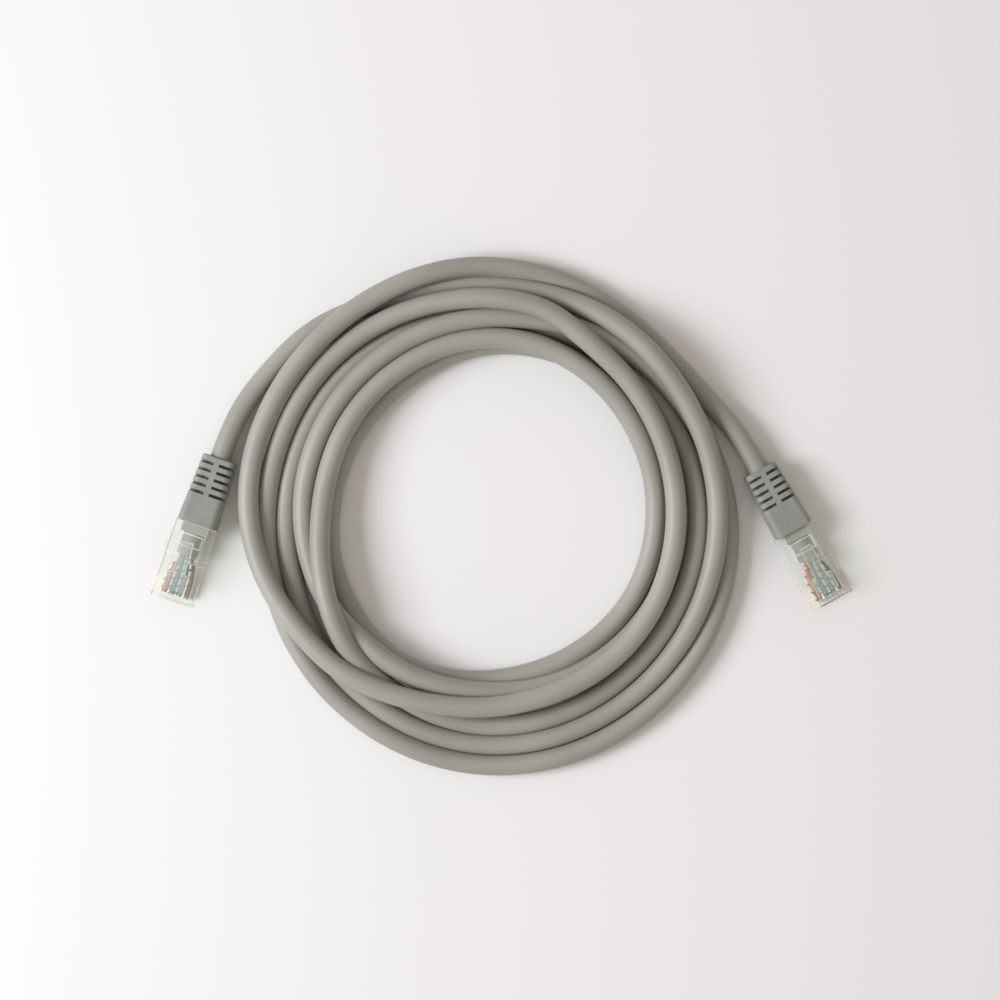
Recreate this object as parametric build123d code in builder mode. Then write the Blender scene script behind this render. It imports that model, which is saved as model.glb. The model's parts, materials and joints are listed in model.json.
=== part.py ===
# Coiled network patch lead with an 8-way modular plug and a slotted bend relief at each end.
# Origin: on the surface that the lead lies on, midway between the two plugs. +Z up, +X towards the right plug.
from build123d import *
from math import cos, radians, sin, tan
import os

os.makedirs("parts", exist_ok=True)

# Cable
cable_d = 5.5
jacket_wall = 0.55
end_arc_share = 0.45

# Modular plug: nose along +Y of its own frame, latch up, rear face at Y = 0
plug_w = 11.7
plug_len = 21.5
plug_nose_h = 6.6
plug_rear_len = 9.0
plug_roof = 0.6
plug_step_run = 1.4
plug_edge = 0.25
nose_chamfer = 0.6
jacket_depth = 8.5
duct_side_room = 0.85
duct_height_room = 0.35
row_side_room = 0.22
row_gap = 0.12
row_front = 1.6
row_start = 14.5
row_flare = 2.0
crimp_w = 6.0
crimp_len = 3.2
crimp_depth = 0.45
crimp_y = 4.6

# Conductors and contact blades
wire_d = 0.76
wire_z = 2.35
wire_lead_in = 1.1
contact_pitch = 1.02
contact_count = 8
blade_t = 0.32
blade_len = 3.2
blade_low = 0.35
blade_slot_gap = 0.1
blade_slot_run = 0.5

# Latch
latch_t = 0.9
latch_base_w = 6.0
latch_base_len = 4.4
latch_shoulder = 0.5
latch_tongue_w = 3.3
latch_len = 13.8
latch_rise = 16.0
latch_root_back = 3.4
latch_gap = 0.05
latch_tip_round = 0.5

# Bend relief boot
boot_len = 18.5
boot_front_w = 10.6
boot_front_h = 8.5
boot_rear_w = 8.9
boot_rear_h = 7.5
boot_round = 1.7
boot_edge = 0.35
boot_floor_gap = 0.05
boot_bore_gap = 0.05
boot_spigot_len = 2.5
boot_spigot_gap = 0.15
slot_count = 5
slot_pitch = 2.04
slot_w = 0.75
slot_first = 1.85
spine_w = 1.5
side_web_h = 1.6

# Coil: outer shape of all the turns
coil_centre = (-3.0, 4.2)
coil_outer = (66.5, 69.2)
coil_hole_centre = (-1.5, 5.0)
coil_hole = (40.5, 42.0)
coil_h = 14.0
coil_round = 4.0

# Sizes that follow from these
axis_z = boot_floor_gap + boot_front_h / 2
duct_w = cable_d + 2 * duct_side_room
duct_h = cable_d + 2 * duct_height_room
plug_rear_h = axis_z + duct_h / 2 + plug_roof
row_w = contact_count * contact_pitch + 2 * row_side_room
bundle_r = cable_d / 2 - jacket_wall - wire_d / 2

# Loose ends of the cable, from the rear of each boot to inside the coil
left_lead = [
    (-74.6, 19.6, axis_z),
    (-70.9, 30.3, axis_z),
    (-62.9, 41.6, 3.3),
    (-51.0, 53.8, 2.9),
    (-37.6, 61.7, 2.8),
]
right_lead = [
    (68.5, 16.7, axis_z),
    (63.6, 25.4, axis_z),
    (55.1, 35.2, 3.3),
    (44.3, 47.0, 2.9),
    (33.0, 57.6, 2.8),
]

# Where each conductor leaves the jacket, in pin order from the +X side: across and up, as shares of the
# bundle's radius
wires = [
    ("white_orange", 0.96, -0.19),
    ("orange", 0.74, 0.36),
    ("white_green", 0.27, -0.69),
    ("blue", 0.25, 0.80),
    ("white_blue", -0.25, 0.80),
    ("green", -0.27, -0.69),
    ("white_brown", -0.74, 0.36),
    ("brown", -0.96, -0.19),
]


def arc_radii(points):
    """The largest arc that the two runs beside each corner leave room for."""
    radii = []
    for before, corner, after in zip(points, points[1:], points[2:]):
        run_in = Vector(*corner) - Vector(*before)
        run_out = Vector(*after) - Vector(*corner)
        half_turn = radians(run_in.get_angle(run_out)) / 2
        radii.append(end_arc_share * min(run_in.length, run_out.length) / tan(half_turn))
    return radii


def tube(points, diameter):
    """A round bar along straight runs joined by tangent arcs."""
    with BuildPart() as bar:
        with BuildLine() as path:
            route = FilletPolyline(*points, radius=arc_radii(points))
        with BuildSketch(Plane(origin=route @ 0, z_dir=route % 0)):
            Circle(diameter / 2)
        sweep(path=path.wire())
    return bar, route.length


def save(piece, name, place=Location()):
    placed = place * piece.part
    placed.label = name
    export_step(placed, f"parts/{name}.step")


def make_plug_body():
    top_step = plug_rear_len + plug_step_run
    row_top = wire_z + wire_d / 2 + row_gap
    row_low = wire_z - wire_d / 2
    row_mid = (row_top + row_low) / 2
    row_y = row_start + row_flare
    with BuildPart() as plug_body:
        # Side outline, swept across the width
        with BuildSketch(Plane.YZ):
            with BuildLine():
                Polyline(
                    (0, 0),
                    (plug_len - nose_chamfer, 0),
                    (plug_len, nose_chamfer),
                    (plug_len, plug_nose_h - nose_chamfer),
                    (plug_len - nose_chamfer, plug_nose_h),
                    (top_step, plug_nose_h),
                    (plug_rear_len, plug_rear_h),
                    (0, plug_rear_h),
                    close=True,
                )
            make_face()
        extrude(amount=plug_w / 2, both=True)
        fillet(plug_body.faces().filter_by(Axis.X).edges(), plug_edge)
        # Rear duct for the jacket, narrowing to the flat row of conductors
        with BuildSketch(Plane.XZ):
            with Locations((0, axis_z)):
                Rectangle(duct_w, duct_h)
        extrude(amount=-jacket_depth, mode=Mode.SUBTRACT)
        with BuildSketch(Plane.XZ.offset(-jacket_depth)):
            with Locations((0, axis_z)):
                Rectangle(duct_w, duct_h)
        with BuildSketch(Plane.XZ.offset(-row_y)):
            with Locations((0, row_mid)):
                Rectangle(row_w, row_top - row_low)
        loft(mode=Mode.SUBTRACT)
        with BuildSketch(Plane.XZ.offset(-row_y)):
            with Locations((0, row_mid)):
                Rectangle(row_w, row_top - row_low)
        extrude(amount=-(plug_len - row_front - row_y), mode=Mode.SUBTRACT)
        # One open slot under each conductor for its contact blade
        slot_run = row_front + blade_len + blade_slot_run
        with Locations((0, plug_len - slot_run, 0)):
            with GridLocations(contact_pitch, 0, contact_count, 1):
                Box(
                    blade_t + 2 * blade_slot_gap,
                    slot_run,
                    row_low,
                    align=(Align.CENTER, Align.MIN, Align.MIN),
                    mode=Mode.SUBTRACT,
                )
        # Pocket that the crimping tool leaves over the jacket
        with Locations((0, crimp_y, plug_rear_h)):
            Box(
                crimp_w,
                crimp_len,
                crimp_depth,
                align=(Align.CENTER, Align.CENTER, Align.MAX),
                mode=Mode.SUBTRACT,
            )
    return plug_body


def make_contacts():
    blade_top = wire_z - wire_d / 2
    blade_y = plug_len - row_front - blade_len / 2
    with BuildPart() as contacts:
        with Locations((0, blade_y, blade_low)):
            with GridLocations(contact_pitch, 0, contact_count, 1):
                Box(
                    blade_t,
                    blade_len,
                    blade_top - blade_low,
                    align=(Align.CENTER, Align.CENTER, Align.MIN),
                )
    return contacts


def make_latch():
    pivot_y = plug_len - latch_root_back
    pivot_z = plug_nose_h + latch_gap + latch_t / 2
    plate = Plane(
        origin=(0, pivot_y, pivot_z),
        x_dir=(1, 0, 0),
        z_dir=(0, -sin(radians(latch_rise)), -cos(radians(latch_rise))),
    )
    base = latch_base_w / 2
    tongue = latch_tongue_w / 2
    with BuildPart() as latch:
        with BuildSketch(plate):
            with BuildLine():
                Polyline(
                    (-base, 0),
                    (-base, latch_base_len),
                    (-tongue, latch_base_len + latch_shoulder),
                    (-tongue, latch_len),
                    (tongue, latch_len),
                    (tongue, latch_base_len + latch_shoulder),
                    (base, latch_base_len),
                    (base, 0),
                    close=True,
                )
            make_face()
        extrude(amount=latch_t / 2, both=True)
        upright = latch.edges().filter_by(Axis(plate.origin, plate.z_dir))
        fillet(upright.sort_by(Axis.Y)[:2], latch_tip_round)
        # Round root that the latch bends about
        with BuildSketch(Plane.YZ):
            with Locations((pivot_y, pivot_z)):
                Circle(latch_t / 2)
        extrude(amount=base, both=True)
    return latch


def make_boot():
    with BuildPart() as boot:
        # Tapered sleeve
        with BuildSketch(Plane.XZ):
            with Locations((0, axis_z)):
                RectangleRounded(boot_front_w, boot_front_h, boot_round)
        with BuildSketch(Plane.XZ.offset(boot_len)):
            with Locations((0, axis_z)):
                RectangleRounded(boot_rear_w, boot_rear_h, boot_round)
        loft()
        fillet(boot.faces().sort_by(Axis.Y)[0].edges(), boot_edge)
        # Spigot that goes into the plug's rear duct
        with BuildSketch(Plane.XZ):
            with Locations((0, axis_z)):
                Rectangle(duct_w - 2 * boot_spigot_gap, duct_h - 2 * boot_spigot_gap)
        extrude(amount=-boot_spigot_len)
        # Bore for the cable
        with BuildSketch(Plane.XZ.offset(-boot_spigot_len)):
            with Locations((0, axis_z)):
                Circle(cable_d / 2 + boot_bore_gap)
        extrude(amount=boot_len + boot_spigot_len, mode=Mode.SUBTRACT)
        # Flex slots each side of the top and bottom spine, stopping at the web along each side
        slot_span = (slot_count - 1) * slot_pitch
        slot_y = -boot_len + slot_first + slot_span / 2
        slot_x = (spine_w + boot_front_w) / 2
        slot_z = (side_web_h + boot_front_h) / 2
        for side in (-1, 1):
            for half in (-1, 1):
                with Locations((side * slot_x, slot_y, axis_z + half * slot_z)):
                    with GridLocations(0, slot_pitch, 1, slot_count):
                        Box(boot_front_w, slot_w, boot_front_h, mode=Mode.SUBTRACT)
    return boot


def make_jacket_end():
    with BuildPart() as jacket_end:
        with BuildSketch(Plane.XZ.offset(-jacket_depth)):
            with Locations((0, axis_z)):
                Circle(cable_d / 2)
        extrude(amount=jacket_depth + boot_len)
    return jacket_end


def make_wire(pin, across, up):
    row_x = ((contact_count - 1) / 2 - pin) * contact_pitch
    front = plug_len - row_front
    points = [
        (row_x, front, wire_z),
        (row_x, row_start, wire_z),
        (across * bundle_r, jacket_depth + wire_lead_in, axis_z + up * bundle_r),
        (across * bundle_r, jacket_depth, axis_z + up * bundle_r),
    ]
    wire, length = tube(points, wire_d)
    return wire


def make_coil():
    with BuildPart() as coil:
        with BuildSketch():
            with Locations(coil_centre):
                Ellipse(*coil_outer)
            with Locations(coil_hole_centre):
                Ellipse(*coil_hole, mode=Mode.SUBTRACT)
        extrude(amount=coil_h)
        fillet(coil.faces().filter_by(Axis.Z).edges(), coil_round)
    return coil


def plug_place(lead):
    """Puts the plug's own frame on the lead's first run, with the boot's rear at its start."""
    start = Vector(*lead[0])
    back = (Vector(*lead[1]) - start).normalized()
    rear = start - back * boot_len
    plane = Plane(
        origin=(rear.X, rear.Y, rear.Z - axis_z),
        x_dir=(-back.Y, back.X, 0),
        z_dir=(0, 0, 1),
    )
    return plane.location


def make_end(side, lead):
    place = plug_place(lead)
    save(make_plug_body(), f"plug_body_{side}", place)
    save(make_contacts(), f"contacts_{side}", place)
    save(make_latch(), f"latch_{side}", place)
    save(make_boot(), f"boot_{side}", place)
    save(make_jacket_end(), f"jacket_end_{side}", place)
    for pin, (colour, across, up) in enumerate(wires):
        save(make_wire(pin, across, up), f"wire_{colour}_{side}", place)
    cable, length = tube(lead, cable_d)
    section = cable.part.volume / length
    save(cable, f"cable_lead_{side}")
    radii = [round(radius, 1) for radius in arc_radii(lead)]
    print(side, "lead length", round(length, 1), "radii", radii, "section", round(section, 3))


make_end("left", left_lead)
make_end("right", right_lead)
save(make_coil(), "cable_coil")
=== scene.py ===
import json
import math

import bpy
import numpy as np
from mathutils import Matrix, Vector

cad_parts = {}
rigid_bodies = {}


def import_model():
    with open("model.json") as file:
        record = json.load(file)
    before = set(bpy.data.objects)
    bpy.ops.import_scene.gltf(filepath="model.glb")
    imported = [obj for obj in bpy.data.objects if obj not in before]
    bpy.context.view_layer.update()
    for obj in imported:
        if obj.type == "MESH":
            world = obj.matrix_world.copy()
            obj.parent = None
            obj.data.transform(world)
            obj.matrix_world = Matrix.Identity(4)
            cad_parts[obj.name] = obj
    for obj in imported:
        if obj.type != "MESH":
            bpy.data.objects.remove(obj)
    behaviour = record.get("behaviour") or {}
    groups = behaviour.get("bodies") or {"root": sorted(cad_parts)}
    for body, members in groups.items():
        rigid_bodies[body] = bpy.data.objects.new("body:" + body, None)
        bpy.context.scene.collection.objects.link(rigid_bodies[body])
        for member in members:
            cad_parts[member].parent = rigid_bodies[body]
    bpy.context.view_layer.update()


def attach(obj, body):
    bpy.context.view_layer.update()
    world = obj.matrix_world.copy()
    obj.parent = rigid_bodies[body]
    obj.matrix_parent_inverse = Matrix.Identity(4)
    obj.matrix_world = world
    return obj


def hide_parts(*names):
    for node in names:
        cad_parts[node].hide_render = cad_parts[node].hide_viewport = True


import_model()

mm = 0.001
sides = ("left", "right")

# The camera looks straight down on the lead
camera = {
    "height": 0.65,
    "floorWidth": 0.2674,  # how much of the table it sees, side to side
    "middle": (-0.0003, 0.0086),
    "sensor": 36.0,
    "nearest": 0.01,
}


def addObject(name, data, place=(0, 0, 0)):
    obj = bpy.data.objects.new(name, data)
    obj.location = place
    bpy.context.collection.objects.link(obj)
    return obj


def makeCamera(c):
    data = bpy.data.cameras.new("camera")
    data.sensor_width = c["sensor"]
    data.lens = c["sensor"] * c["height"] / c["floorWidth"]
    data.clip_start = c["nearest"]
    bpy.context.scene.camera = addObject("camera", data, (*c["middle"], c["height"]))


makeCamera(camera)
print("camera made")

# The cable is one spline: a loose end, the turns of the coil, and the other loose end
cable = {
    "diameter": 5.5 * mm,
    "leftLead": [
        (-0.0746, 0.0196, 0.0043),
        (-0.0709, 0.0303, 0.0043),
        (-0.0629, 0.0416, 0.0033),
        (-0.0510, 0.0538, 0.0029),
        (-0.0372, 0.0600, 0.0028),
        (-0.0196, 0.0660, 0.0028),
    ],
    "rightLead": [
        (0.0685, 0.0167, 0.0043),
        (0.0636, 0.0254, 0.0043),
        (0.0551, 0.0352, 0.0033),
        (0.0443, 0.0470, 0.0029),
        (0.0330, 0.0576, 0.0028),
        (0.0163, 0.0673, 0.0036),
    ],
    "coilMiddle": (-0.0030, 0.0042),
    # how far out each turn lies, in mm, at every eighth of a turn, clockwise from its top
    "turns": [
        (62.0, 60.5, 61.0, 61.4, 61.2, 58.6, 55.1, 54.8),
        (53.8, 54.4, 55.5, 55.7, 56.1, 51.2, 44.8, 45.7),
        (47.9, 46.2, 44.5, 44.0, 44.6, 46.4, 43.0, 42.6),
        (46.3, 48.6, 51.0, 48.8, 46.6, 48.0, 50.1, 51.1),
        (53.0, 57.6, 63.9, 66.8, 66.8, 62.8, 59.3, 59.9),
        (57.6, 51.6, 49.6, 50.0, 49.9, 56.2, 64.4, 65.6),
        (66.8,),
    ],
    # how high it starts at every quarter, before it settles: 0 on the surface, 1 on another turn
    "layers": [
        (0, 1.0, 0.6, 0),
        (0, 1.0, 1.0, 1.0),
        (1.0, 0, 0, 0),
        (0, 0, 0, 1.0),
        (0.8, 0, 0, 0.5),
        (1.4, 1.0, 1.4, 1.0),
        (1.0,),
    ],
    "layerRise": 0.85,  # of the diameter, from one layer to the next
    "pointsPerTurn": 96,
    "splineEvery": 4,  # the spline takes every fourth point of a turn
    "splineSteps": 6,
    "roundSteps": 7,
    "leadStep": 3.4 * mm,
    "heldPoints": 18,  # at each end the cable stays where its plug holds it
    "settleRounds": 420,
    "neighbours": 5,  # points this near along the cable never push each other
    "pushShare": 0.5,
    "pullHome": 0.08,
    "sink": 0.01 * mm,
    "clearance": 0.02 * mm,
    "highest": 13.9 * mm,
    "levelling": 0.45,
    "straightening": 0.6,
}
tiny = 1e-9  # keeps a division from meeting zero


# Catmull-Rom through the values, with count steps from each to the next
def smoothAlong(values, count):
    v = [2 * values[0] - values[1], *values, 2 * values[-1] - values[-2]]
    out = []
    for i in range(1, len(v) - 2):
        a, b, c, d = v[i - 1 : i + 3]
        for k in range(count):
            t = k / count
            bent = (2 * a - 5 * b + 4 * c - d) * t * t + (3 * b - a - 3 * c + d) * t**3
            out.append(0.5 * (2 * b + (c - a) * t + bent))
    return out + [values[-1]]


# The turns as wound, clockwise from the top, before they settle
def coilTurns(c):
    radii = smoothAlong([r for turn in c["turns"] for r in turn], c["pointsPerTurn"] // 8)
    levels = smoothAlong([h for turn in c["layers"] for h in turn], c["pointsPerTurn"] // 4)
    turns = []
    for i, (radius, level) in enumerate(zip(radii, levels)):
        angle = math.pi / 2 - 2 * math.pi * i / c["pointsPerTurn"]
        x = c["coilMiddle"][0] + radius * mm * math.cos(angle)
        y = c["coilMiddle"][1] + radius * mm * math.sin(angle)
        turns.append((x, y, c["diameter"] * (0.5 + c["layerRise"] * max(level, 0))))
    return turns


# Closely spaced stand-ins for the loose ends, used by the settling alone
def between(points, step):
    out = []
    for a, b in zip(points, points[1:]):
        count = max(2, round((Vector(b) - Vector(a)).length / step))
        out += [tuple(Vector(a).lerp(Vector(b), k / count)) for k in range(count)]
    return out + [points[-1]]


# Lets the turns find their place: it pushes them apart, lets none sink into the surface and evens out
# sharp climbs. Where many turns meet, some stay pressed into each other
def settle(points, held, c):
    d = c["diameter"]
    p = np.array(points)
    home = p.copy()
    index = np.arange(len(p))
    apart = np.abs(index[:, None] - index[None, :]) > c["neighbours"]
    free = (index >= held) & (index < len(p) - held)
    for _ in range(c["settleRounds"]):
        gap = p[:, None, :] - p[None, :, :]
        far = np.linalg.norm(gap, axis=2) + tiny
        close = apart & (far < d)
        push = (np.where(close, (d - far) / far, 0.0)[..., None] * gap).sum(1)
        p[free] += (c["pushShare"] * push / np.maximum(close.sum(1), 1)[:, None])[free]
        p[free, :2] += c["pullHome"] * (home - p)[free, :2]
        p[free, 2] -= c["sink"]
        level, bend = np.zeros_like(p), np.zeros_like(p)
        level[1:-1] = (p[:-2] + p[2:]) / 2 - p[1:-1]
        bend[2:-2] = (4 * p[1:-3] + 4 * p[3:-1] - p[:-4] - p[4:] - 6 * p[2:-2]) / 16
        p[free, 2] += c["levelling"] * level[free, 2]
        p[free, :2] += c["straightening"] * bend[free, :2]
        p[free, 2] = np.clip(p[free, 2], d / 2 + c["clearance"], c["highest"] - d / 2)
    return p


def cableRoute(c):
    turns = coilTurns(c)
    start = between([*c["leftLead"], turns[0]], c["leadStep"])[:-1]
    end = between([turns[-1], *c["rightLead"][::-1]], c["leadStep"])[1:]
    rest = settle([*start, *turns, *end], c["heldPoints"], c)
    coiled = rest[len(start) : len(start) + len(turns) : c["splineEvery"]]
    return [*c["leftLead"], *[tuple(q) for q in coiled], *c["rightLead"][::-1]]


def makeCable(c):
    curve = bpy.data.curves.new("cable route", "CURVE")
    curve.dimensions = "3D"
    curve.resolution_u = c["splineSteps"]
    spline = curve.splines.new("NURBS")
    points = cableRoute(c)
    spline.points.add(len(points) - 1)
    for point, place in zip(spline.points, points):
        point.co = (*place, 1)
    spline.order_u = 3
    spline.use_endpoint_u = True
    route = addObject("cable route", curve)
    path = [v.co.copy() for v in bpy.data.meshes.new_from_object(route).vertices]
    curve.bevel_depth = c["diameter"] / 2
    curve.bevel_resolution = c["roundSteps"]
    curve.use_fill_caps = True
    tube = bpy.data.meshes.new_from_object(route)
    bpy.data.objects.remove(route)
    cord = addObject("network_cable", tube)
    tube.shade_smooth()
    return cord, path


networkCable, cablePath = makeCable(cable)
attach(networkCable, "root")
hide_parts("cable_coil", "cable_lead_left", "cable_lead_right")


# An sRGB hex value as the linear colour that a shader takes
def linear(hexColour):
    parts = [int(hexColour[i : i + 2], 16) / 255 for i in (1, 3, 5)]
    return (*[p / 12.92 if p <= 0.04045 else ((p + 0.055) / 1.055) ** 2.4 for p in parts], 1)


# Adds one node; links maps its input names to values or to other nodes' outputs
def addNode(tree, kind, links=None, **settings):
    node = tree.nodes.new(kind)
    for name, value in settings.items():
        setattr(node, name, value)
    for name, value in (links or {}).items():
        if isinstance(value, bpy.types.NodeSocket):
            tree.links.new(value, node.inputs[name])
        else:
            node.inputs[name].default_value = value
    return node


def newMaterial(name):
    material = bpy.data.materials.new(name)
    material.use_nodes = True
    tree = material.node_tree
    return material, tree, tree.nodes["Principled BSDF"]


mottleEnds = (0.35, 0.65)  # the part of the noise that the two tones share


# Colour that drifts between two close tones over patches of that size in metres
def mottled(tree, place, size, dark, light):
    noise = addNode(tree, "ShaderNodeTexNoise", {"Vector": place, "Scale": 1 / size, "Detail": 3.0})
    ramp = addNode(tree, "ShaderNodeValToRGB", {"Fac": noise.outputs["Fac"]})
    for element, position, colour in zip(ramp.color_ramp.elements, mottleEnds, (dark, light)):
        element.position = position
        element.color = linear(colour)
    return ramp.outputs["Color"]


# Bump from noise of that size, and that deep, in metres
def grain(tree, place, size, depth, detail=4.0):
    noise = addNode(tree, "ShaderNodeTexNoise", {"Vector": place, "Scale": 1 / size, "Detail": detail})
    links = {"Height": noise.outputs["Fac"], "Strength": 1.0, "Distance": depth}
    return addNode(tree, "ShaderNodeBump", links), noise


def rough(tree, noise, low, high):
    links = {"Value": noise.outputs["Fac"], "To Min": low, "To Max": high}
    return addNode(tree, "ShaderNodeMapRange", links).outputs["Result"]


jacket = {
    "dark": "#97968C",
    "light": "#A4A299",
    "patch": 30 * mm,
    "grain": 0.35 * mm,
    "deep": 0.012 * mm,
    "lumps": 9 * mm,  # the twisted pairs show faintly through
    "lumpDeep": 0.10 * mm,
    "smooth": 0.42,
    "dull": 0.56,
    "bending": 1.53,
}
# The jacket end inside the boot and plug is a copy of the jacket painted a few shades darker, as painted
# shade for the boot's deep, narrow slots, and made duller so no highlight shows there
jacketEndPaintedShade = {**jacket, "dark": "#85847C", "light": "#8F8E86", "smooth": 0.60, "dull": 0.75}


def jacketPvc(name, s):
    # Extruded soft PVC: satin, even grey, with the faint lumps of the twisted pairs under it
    material, tree, shader = newMaterial(name)
    place = addNode(tree, "ShaderNodeTexCoord").outputs["Object"]
    fine, fineNoise = grain(tree, place, s["grain"], s["deep"])
    lumps, _ = grain(tree, place, s["lumps"], s["lumpDeep"], detail=1.0)
    tree.links.new(fine.outputs["Normal"], lumps.inputs["Normal"])
    tree.links.new(lumps.outputs["Normal"], shader.inputs["Normal"])
    tree.links.new(mottled(tree, place, s["patch"], s["dark"], s["light"]), shader.inputs["Base Color"])
    tree.links.new(rough(tree, fineNoise, s["smooth"], s["dull"]), shader.inputs["Roughness"])
    shader.inputs["IOR"].default_value = s["bending"]
    return material


boot = {
    "dark": "#8A8D87",
    "light": "#949790",
    "patch": 6 * mm,
    "grain": 0.22 * mm,
    "deep": 0.018 * mm,
    "softEdge": 0.28 * mm,
    "smooth": 0.50,
    "dull": 0.68,
    "bending": 1.53,
}
bevelSamples = 6


def bootPvc(s):
    # Injection moulded soft PVC: a shade darker than the cable, with the mould's fine spark grain
    material, tree, shader = newMaterial("soft PVC boot, moulded")
    place = addNode(tree, "ShaderNodeTexCoord").outputs["Object"]
    bump, noise = grain(tree, place, s["grain"], s["deep"])
    rounded = addNode(tree, "ShaderNodeBevel", {"Radius": s["softEdge"]}, samples=bevelSamples)
    tree.links.new(rounded.outputs["Normal"], bump.inputs["Normal"])
    tree.links.new(bump.outputs["Normal"], shader.inputs["Normal"])
    tree.links.new(mottled(tree, place, s["patch"], s["dark"], s["light"]), shader.inputs["Base Color"])
    tree.links.new(rough(tree, noise, s["smooth"], s["dull"]), shader.inputs["Roughness"])
    shader.inputs["IOR"].default_value = s["bending"]
    return material


clear = {
    "tint": "#FCFDFB",
    "flow": 2.4 * mm,
    "deep": 0.02 * mm,
    "bending": 1.36,
    "smooth": 0.03,
    "dull": 0.08,
    "haze": 0.07,  # how much of the face is milky rather than clear
    # The edges are painted milky white as a painted highlight: over this width, from this turn of the
    # surface to that, up to this much milkiness
    "edgeWidth": 0.34 * mm,
    "edgeStart": 0.998,  # the edge shows from this turn of the surface, as a cosine
    "edgeFull": 0.90,
    "paintedEdgeHighlight": 0.85,
}
# The latch comes from a finely textured part of the mould; its painted edge highlight is wider
frosted = {**clear, "smooth": 0.06, "dull": 0.12, "haze": 0.20, "tint": "#E2E7E2", "edgeWidth": 0.46 * mm}


# How near a point lies to an edge, from 0 on a face to 1 on the edge; it places the painted edge
# highlight
def paintedEdgeHighlightMask(tree, s):
    bevel = addNode(tree, "ShaderNodeBevel", {"Radius": s["edgeWidth"]}, samples=bevelSamples)
    face = addNode(tree, "ShaderNodeNewGeometry").outputs["True Normal"]
    turn = addNode(tree, "ShaderNodeVectorMath", operation="DOT_PRODUCT")
    tree.links.new(bevel.outputs["Normal"], turn.inputs[0])
    tree.links.new(face, turn.inputs[1])
    links = {"Value": turn.outputs["Value"], "From Min": s["edgeStart"], "From Max": s["edgeFull"]}
    return addNode(tree, "ShaderNodeMapRange", links).outputs["Result"]


def clearPolycarbonate(name, s):
    # Clear polycarbonate, polished by the mould: faint flow waves bend what shows through, and the edges
    # are painted milky white, a painted highlight for the light that rounded edges catch. Shadow and
    # bounced rays go straight through, so light reaches the wires. Its bending is a choice of look, below
    # the 1.58 of real polycarbonate
    material, tree, shader = newMaterial(name)
    place = addNode(tree, "ShaderNodeTexCoord").outputs["Object"]
    bump, noise = grain(tree, place, s["flow"], s["deep"], detail=1.0)
    tree.links.new(bump.outputs["Normal"], shader.inputs["Normal"])
    tree.links.new(rough(tree, noise, s["smooth"], s["dull"]), shader.inputs["Roughness"])
    shader.inputs["Base Color"].default_value = linear(s["tint"])
    # Towards the edges the plastic turns milky: a painted highlight, so the edges look white
    haze = {"Value": paintedEdgeHighlightMask(tree, s), "To Min": 1 - s["haze"], "To Max": 1 - s["paintedEdgeHighlight"]}
    clearnessWithPaintedEdges = addNode(tree, "ShaderNodeMapRange", haze).outputs["Result"]
    tree.links.new(clearnessWithPaintedEdges, shader.inputs["Transmission Weight"])
    shader.inputs["IOR"].default_value = s["bending"]
    rays = addNode(tree, "ShaderNodeLightPath")
    lighting = addNode(tree, "ShaderNodeMath", operation="MAXIMUM")
    tree.links.new(rays.outputs["Is Shadow Ray"], lighting.inputs[0])
    tree.links.new(rays.outputs["Is Diffuse Ray"], lighting.inputs[1])
    through = addNode(tree, "ShaderNodeBsdfTransparent", {"Color": linear(s["tint"])})
    mix = addNode(tree, "ShaderNodeMixShader", {"Fac": lighting.outputs["Value"]})
    tree.links.new(shader.outputs["BSDF"], mix.inputs[1])
    tree.links.new(through.outputs["BSDF"], mix.inputs[2])
    tree.links.new(mix.outputs["Shader"], tree.nodes["Material Output"].inputs["Surface"])
    return material


gold = {
    "dark": "#C99A45",
    "light": "#E3BD6C",
    "patch": 0.8 * mm,
    "grain": 0.15 * mm,
    "deep": 0.004 * mm,
    "smooth": 0.18,
    "dull": 0.32,
}


def goldPlate(s):
    # Gold flash over nickel on stamped bronze: warm, bright, with fine press marks
    material, tree, shader = newMaterial("gold plate on bronze, stamped")
    place = addNode(tree, "ShaderNodeTexCoord").outputs["Object"]
    bump, noise = grain(tree, place, s["grain"], s["deep"])
    tree.links.new(bump.outputs["Normal"], shader.inputs["Normal"])
    tree.links.new(mottled(tree, place, s["patch"], s["dark"], s["light"]), shader.inputs["Base Color"])
    tree.links.new(rough(tree, noise, s["smooth"], s["dull"]), shader.inputs["Roughness"])
    shader.inputs["Metallic"].default_value = 1.0
    return material


# Ground and second tone of each conductor; for the white ones, the second is its rings
insulation = {
    "orange": ("#BE6C3A", "#C87A48"),
    "white_orange": ("#E4DAD0", "#BE6C3A"),
    "blue": ("#3A6088", "#466E96"),
    "white_blue": ("#DCE1E6", "#3A6088"),
    "green": ("#4A824C", "#579058"),
    "white_green": ("#DDE5DA", "#4A824C"),
    "brown": ("#61392A", "#6E4434"),
    "white_brown": ("#E2DAD2", "#61392A"),
}
wire = {
    "ringPitch": 1.9 * mm,
    "groundShare": 0.80,  # of the wave's height, so the rings are narrow
    "patch": 1.5 * mm,
    "grain": 0.3 * mm,
    "deep": 0.004 * mm,
    "smooth": 0.30,
    "dull": 0.42,
    "bending": 1.51,
}
waveTurn = math.pi / 10  # a wave texture of scale 1 repeats over this length


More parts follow.
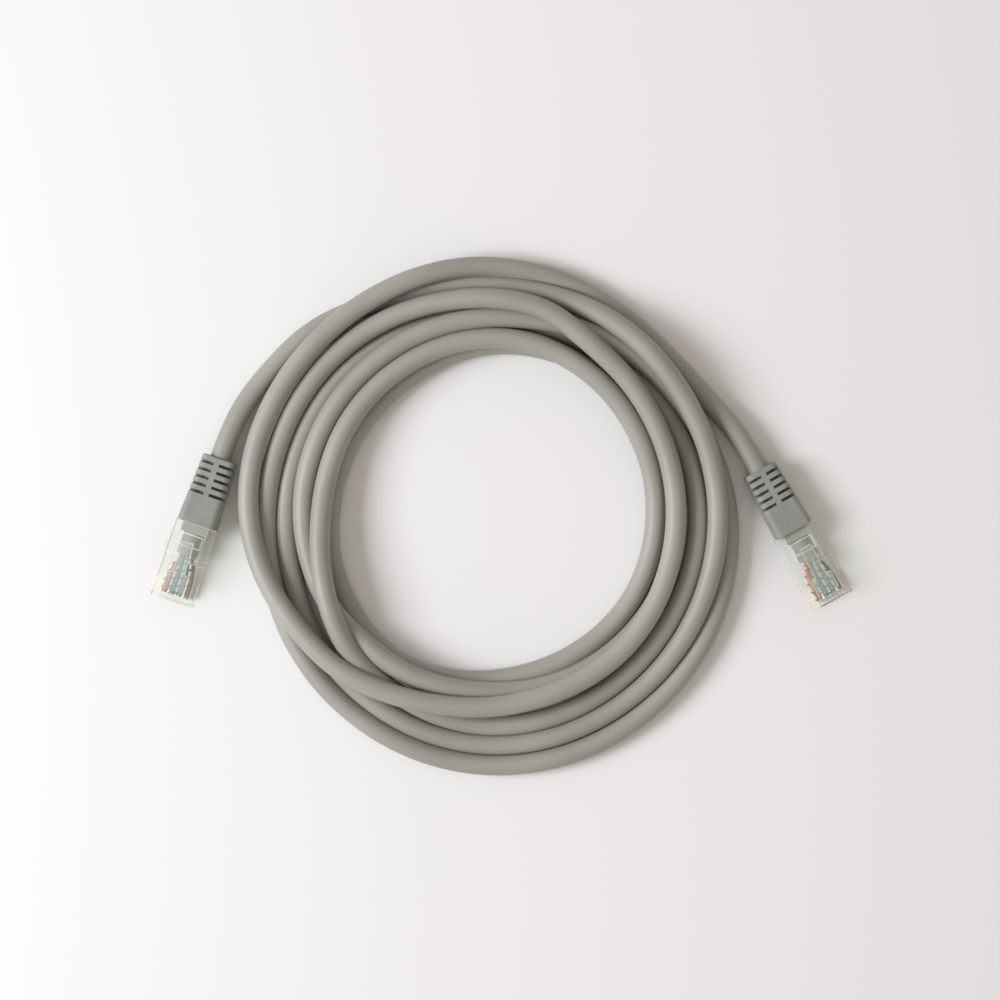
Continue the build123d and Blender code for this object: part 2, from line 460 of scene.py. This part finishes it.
def wireInsulation(name, ground, mark, s):
    # Polyethylene insulation: waxy and smooth; the white ones carry rings of their pair's colour
    material, tree, shader = newMaterial(f"polyethylene insulation, {name}")
    place = addNode(tree, "ShaderNodeTexCoord").outputs["Object"]
    if name.startswith("white"):
        bands = {"Vector": place, "Scale": waveTurn / s["ringPitch"], "Distortion": 0.0}
        wave = addNode(tree, "ShaderNodeTexWave", bands, bands_direction="Y")
        ramp = addNode(tree, "ShaderNodeValToRGB", {"Fac": wave.outputs["Fac"]})
        ramp.color_ramp.interpolation = "CONSTANT"
        ramp.color_ramp.elements[0].color = linear(ground)
        ramp.color_ramp.elements[1].position = s["groundShare"]
        ramp.color_ramp.elements[1].color = linear(mark)
        colour = ramp.outputs["Color"]
    else:
        colour = mottled(tree, place, s["patch"], ground, mark)
    tree.links.new(colour, shader.inputs["Base Color"])
    bump, noise = grain(tree, place, s["grain"], s["deep"])
    tree.links.new(bump.outputs["Normal"], shader.inputs["Normal"])
    tree.links.new(rough(tree, noise, s["smooth"], s["dull"]), shader.inputs["Roughness"])
    shader.inputs["IOR"].default_value = s["bending"]
    return material


def paint(obj, material):
    obj.data.materials.clear()
    obj.data.materials.append(material)


jacketMaterial = jacketPvc("soft PVC cable jacket, extruded", jacket)
# The jacket end carries painted shade: it is a darker copy of the jacket
paintedShadeInnerJacketMaterial = jacketPvc("soft PVC cable jacket, painted shade inside the boot", jacketEndPaintedShade)
bootMaterial = bootPvc(boot)
clearMaterial = clearPolycarbonate("polycarbonate, clear moulded", clear)
frostedMaterial = clearPolycarbonate("polycarbonate, fine textured mould", frosted)
goldMaterial = goldPlate(gold)
paint(networkCable, jacketMaterial)
nodes = bpy.data.objects
for side in sides:
    paint(nodes[f"jacket_end_{side}"], paintedShadeInnerJacketMaterial)
    paint(nodes[f"boot_{side}"], bootMaterial)
    paint(nodes[f"plug_body_{side}"], clearMaterial)
    paint(nodes[f"latch_{side}"], frostedMaterial)
    paint(nodes[f"contacts_{side}"], goldMaterial)
for colour, (ground, mark) in insulation.items():
    wireMaterial = wireInsulation(colour, ground, mark, wire)
    for side in sides:
        paint(nodes[f"wire_{colour}_{side}"], wireMaterial)
print("materials made")

# The studio: a white table in a white room, with a window on the left
studio = {
    "floor": "#F1F0F0",
    "floorSize": 3.0,
    "below": 0.05 * mm,  # so that no face of the plugs lies in the table's own face
    "fibre": 0.8 * mm,
    "fibreDeep": 0.01 * mm,
    "dull": 0.85,
    "sky": 0.50,
    "skyColour": "#FFF6EE",
}
window = {
    "place": (-0.84, -0.04, 0.66),
    "size": 0.48,
    "power": 10.3,
    "colour": "#F4F9FF",
}


def floorPaper(s):
    # Matt white paper: even, with a faint fibre
    material, tree, shader = newMaterial("white paper, matt")
    place = addNode(tree, "ShaderNodeTexCoord").outputs["Object"]
    bump, _ = grain(tree, place, s["fibre"], s["fibreDeep"])
    tree.links.new(bump.outputs["Normal"], shader.inputs["Normal"])
    shader.inputs["Base Color"].default_value = linear(s["floor"])
    shader.inputs["Roughness"].default_value = s["dull"]
    return material


def makeStudio(s, w):
    bpy.ops.object.select_all(action="DESELECT")
    bpy.ops.mesh.primitive_plane_add(size=s["floorSize"], location=(0, 0, -s["below"]))
    floor = bpy.context.object
    floor.name = "floor"
    paint(floor, floorPaper(s))
    world = bpy.data.worlds.new("soft white room")
    bpy.context.scene.world = world
    world.use_nodes = True
    world.node_tree.nodes["Background"].inputs["Color"].default_value = linear(s["skyColour"])
    world.node_tree.nodes["Background"].inputs["Strength"].default_value = s["sky"]
    light = bpy.data.lights.new("window", "AREA")
    light.energy = w["power"]
    light.size = w["size"]
    light.color = linear(w["colour"])[:3]
    lamp = addObject("window", light, w["place"])
    lamp.rotation_euler = (-Vector(w["place"])).to_track_quat("-Z", "Y").to_euler()
    bpy.context.scene.view_settings.view_transform = "Standard"


makeStudio(studio, window)
print("studio made")
